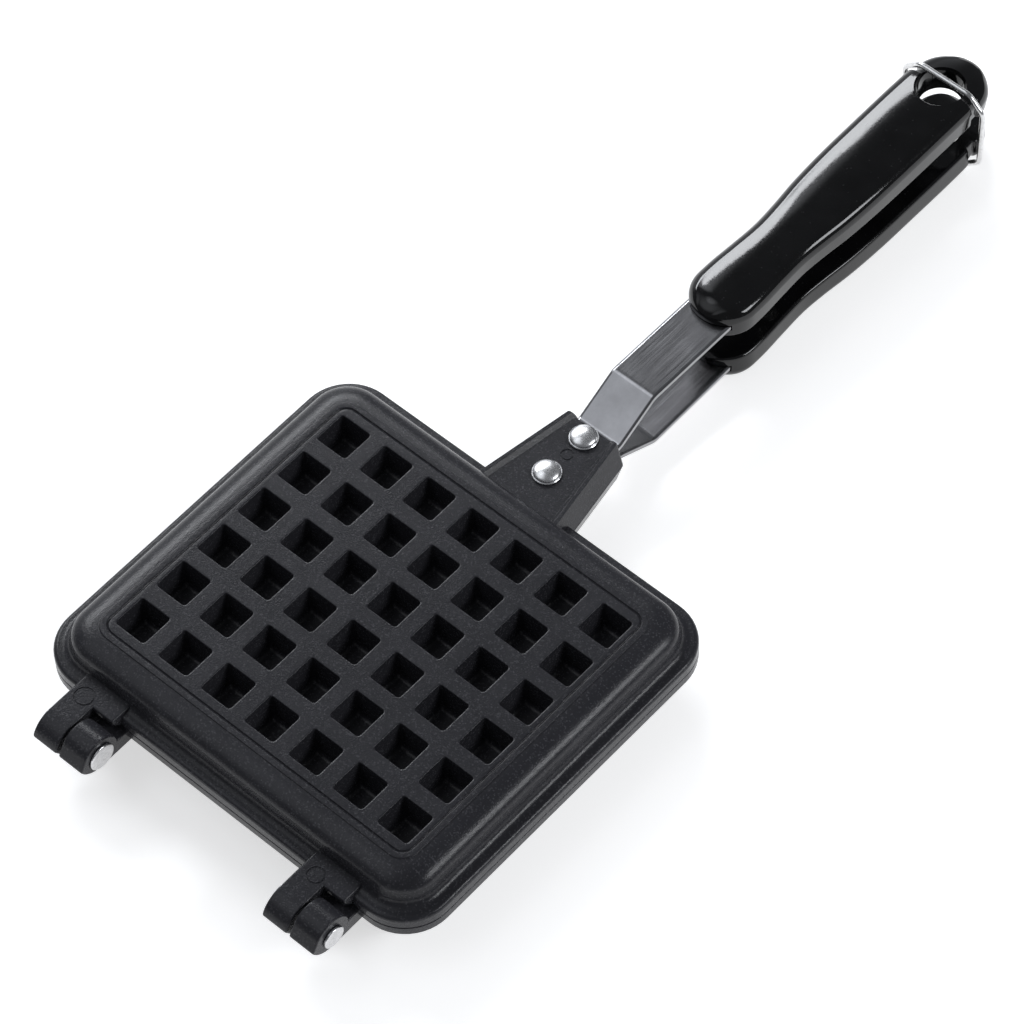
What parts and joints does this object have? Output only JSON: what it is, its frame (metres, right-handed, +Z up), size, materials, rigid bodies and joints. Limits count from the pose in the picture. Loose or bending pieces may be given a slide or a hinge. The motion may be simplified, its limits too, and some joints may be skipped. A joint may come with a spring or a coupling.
{
  "type": "stovetop waffle iron",
  "caption": "Hinged cast waffle iron for a hob, with pitted rectangular plates, riveted steel straps, bakelite grips and a wire ring that latches the grips together",
  "frame": {"origin": "centre of the lower plate's flat outer face, on the rib between the two middle rows of pits", "axes": "+Y runs from the hinges to the grips, +Z is up through the closed plates, +X is along the hinge line"},
  "size_m": [0.1566, 0.3818, 0.0371],
  "materials": {
    "plate_coating": "satin black non-stick coating on cast aluminium",
    "strap_steel": "smooth rolled",
    "rivet_metal": "polished",
    "pin_steel": "bright",
    "grip_bakelite": "glossy black bakelite",
    "screw_steel": "zinc plated",
    "ring_wire": "bright drawn wire"
  },
  "bodies": {
    "lower_half": {"lower_plate": "plate_coating", "lower_strap": "strap_steel", "lower_rivet_inner": "rivet_metal", "lower_rivet_outer": "rivet_metal", "lower_grip": "grip_bakelite", "lower_grip_screw": "screw_steel", "hinge_pin_left": "pin_steel", "hinge_pin_right": "pin_steel"},
    "upper_half": {"upper_plate": "plate_coating", "upper_strap": "strap_steel", "upper_rivet_inner": "rivet_metal", "upper_rivet_outer": "rivet_metal", "upper_grip": "grip_bakelite", "upper_grip_screw": "screw_steel"},
    "latch": {"latch_ring": "ring_wire"}
  },
  "joints": [
    {"name": "plate_hinge", "type": "hinge", "parent": "lower_half", "child": "upper_half", "pos_m": [0, -0.0824, 0.0147], "axis": [1, 0, 0], "range_deg": [0, 180]},
    {"name": "latch_swing", "type": "hinge", "parent": "lower_half", "child": "latch", "pos_m": [0, 0.2756, -0.0027], "axis": [-1, 0, 0], "range_deg": [0, 180]}
  ]
}
